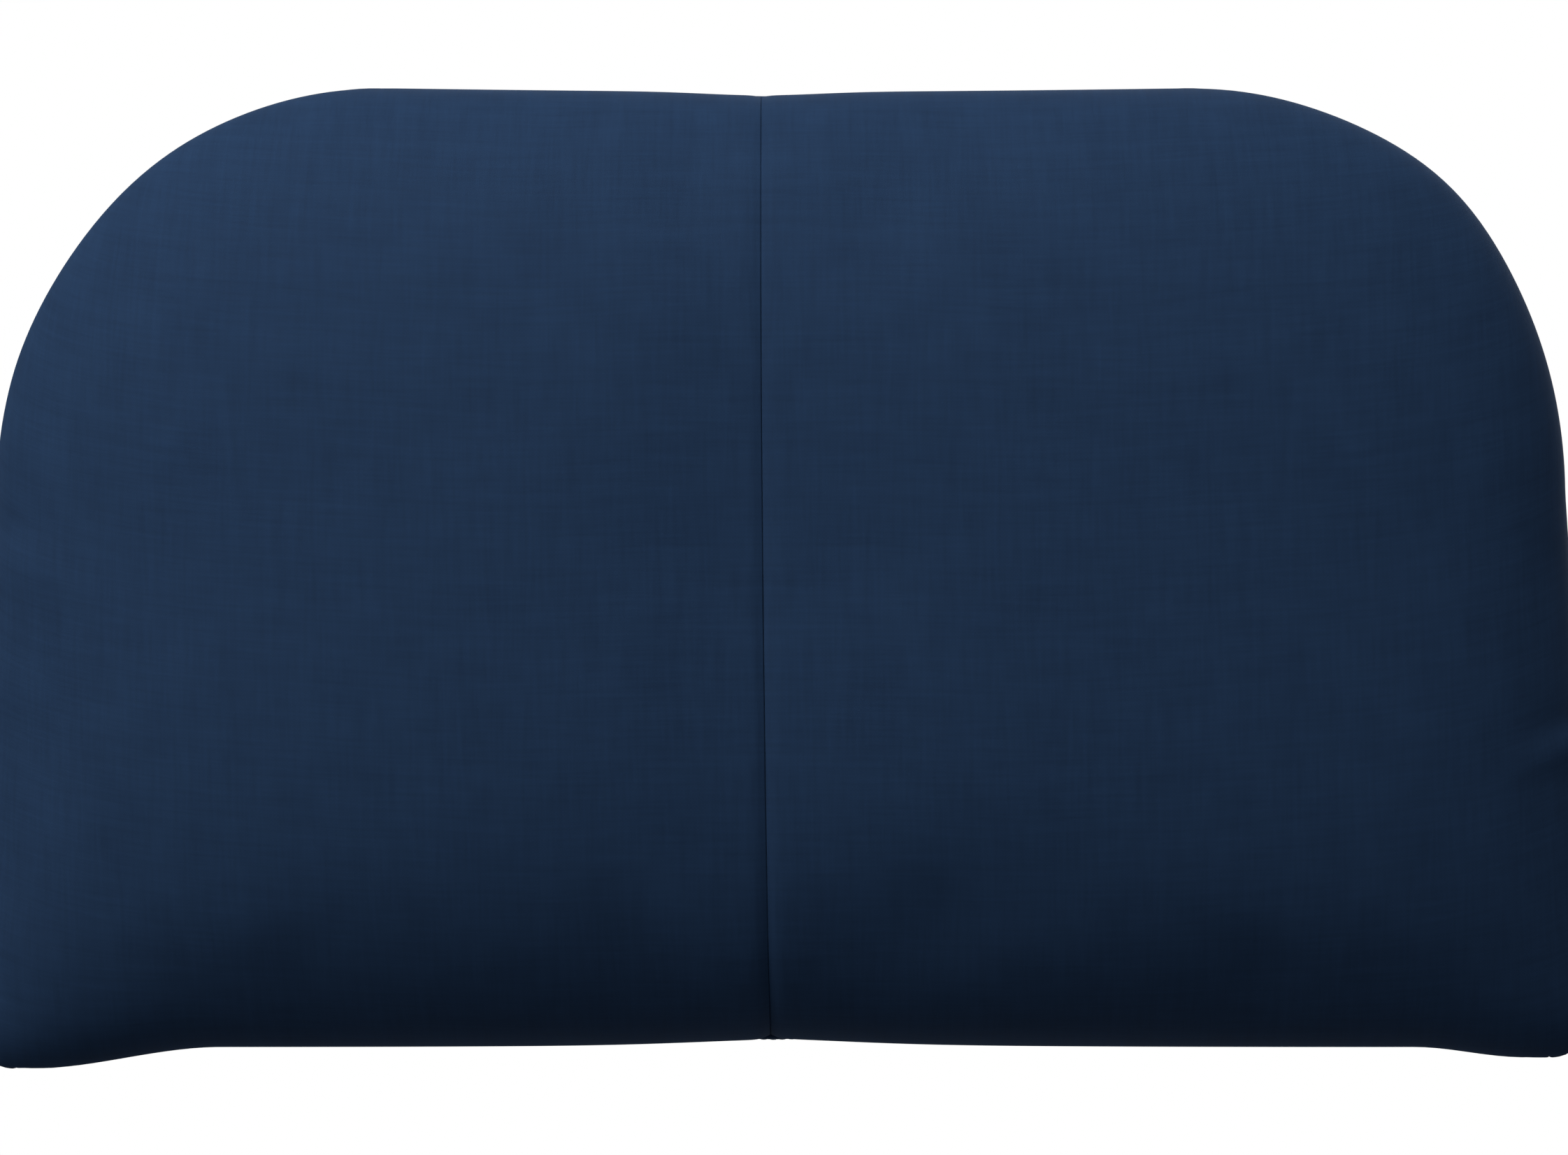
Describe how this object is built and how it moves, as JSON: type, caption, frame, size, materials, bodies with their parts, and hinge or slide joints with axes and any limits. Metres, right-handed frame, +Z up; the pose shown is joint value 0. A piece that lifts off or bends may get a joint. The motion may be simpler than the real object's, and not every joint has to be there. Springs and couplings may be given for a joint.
{
  "type": "wall punch pad",
  "caption": "Crowned D-shaped striking pad: a zipped, sewn cover over layered foam on a plywood board, hung on a two-part aluminium wall rail that it lifts off.",
  "frame": {"origin": "centre of the wall rail's back face, on the wall plane", "axes": "+X to the viewer's right when facing the pad, along its width; +Y into the wall, so the striking face looks along -Y; +Z up"},
  "size_m": [0.658, 0.1691, 0.3964],
  "materials": {
    "navy_cloth_front": "fine plain-weave navy cloth, soft satin sheen",
    "navy_cloth_band": "the same navy cloth on the gusset",
    "rear_cloth": "coarse black backing cloth, matt",
    "seam_tape_cloth": "woven seam tape, matt",
    "zip_tape_cloth": "herringbone zip tape, matt",
    "zip_teeth": "moulded zip teeth, satin",
    "zip_metal": "dark plated zip metal",
    "strike_foam": "open-cell foam, cream",
    "core_foam": "closed-cell foam, charcoal",
    "base_foam": "rebonded foam, flecked grey blue",
    "edge_foam": "open-cell foam strip",
    "wadding_fibre": "fibre wadding, white",
    "birch_plywood": "sanded plywood, open grain",
    "mill_aluminium": "extruded, mill finish",
    "zinc_steel": "zinc plated",
    "black_rubber": "moulded, matt",
    "eyelet_brass": "rolled brass, lightly dulled"
  },
  "bodies": {
    "wall": {"wall_rail": "mill_aluminium", "wall_screw_1": "zinc_steel", "wall_screw_2": "zinc_steel", "wall_screw_3": "zinc_steel", "wall_screw_4": "zinc_steel"},
    "pad": {"cover_front_left": "navy_cloth_front", "cover_front_right": "navy_cloth_front", "side_band": "navy_cloth_band", "bottom_band_front": "navy_cloth_band", "bottom_band_rear": "navy_cloth_band", "rear_panel": "rear_cloth", "centre_seam_tape": "seam_tape_cloth", "zip_tape_front": "zip_tape_cloth", "zip_tape_rear": "zip_tape_cloth", "zip_chain": "zip_teeth", "zip_top_stop_front": "zip_metal", "zip_top_stop_rear": "zip_metal", "zip_bottom_stop": "zip_metal", "foam_strike_layer": "strike_foam", "foam_core_layer": "core_foam", "foam_base_layer": "base_foam", "foam_edge_roll": "edge_foam", "wadding_wrap": "wadding_fibre", "backboard": "birch_plywood", "board_rail": "mill_aluminium", "rail_bolt_1": "zinc_steel", "rail_bolt_2": "zinc_steel", "rail_bolt_3": "zinc_steel", "rail_bolt_4": "zinc_steel", "tee_nut_1": "zinc_steel", "tee_nut_2": "zinc_steel", "tee_nut_3": "zinc_steel", "tee_nut_4": "zinc_steel", "bumper_screw_left": "zinc_steel", "bumper_screw_right": "zinc_steel", "bumper_washer_left": "zinc_steel", "bumper_washer_right": "zinc_steel", "bumper_left": "black_rubber", "bumper_right": "black_rubber", "vent_eyelet_1": "eyelet_brass", "vent_eyelet_2": "eyelet_brass", "vent_eyelet_3": "eyelet_brass", "vent_eyelet_4": "eyelet_brass"},
    "slider": {"zip_slider": "zip_metal"},
    "pull": {"zip_pull": "zip_metal"}
  },
  "joints": [
    {"name": "pad_lift", "type": "slide", "parent": "wall", "child": "pad", "axis": [0, 0, 1], "range_m": [0, 0.02]},
    {"name": "zip_slide", "type": "slide", "parent": "pad", "child": "slider", "axis": [1, 0, 0], "range_m": [0, 0.565], "deforming": ["zip_chain"]},
    {"name": "zip_pull_swing", "type": "hinge", "parent": "slider", "child": "pull", "pos_m": [-0.285, -0.03, -0.2697], "axis": [0, 1, 0], "range_deg": [0, 175]}
  ]
}
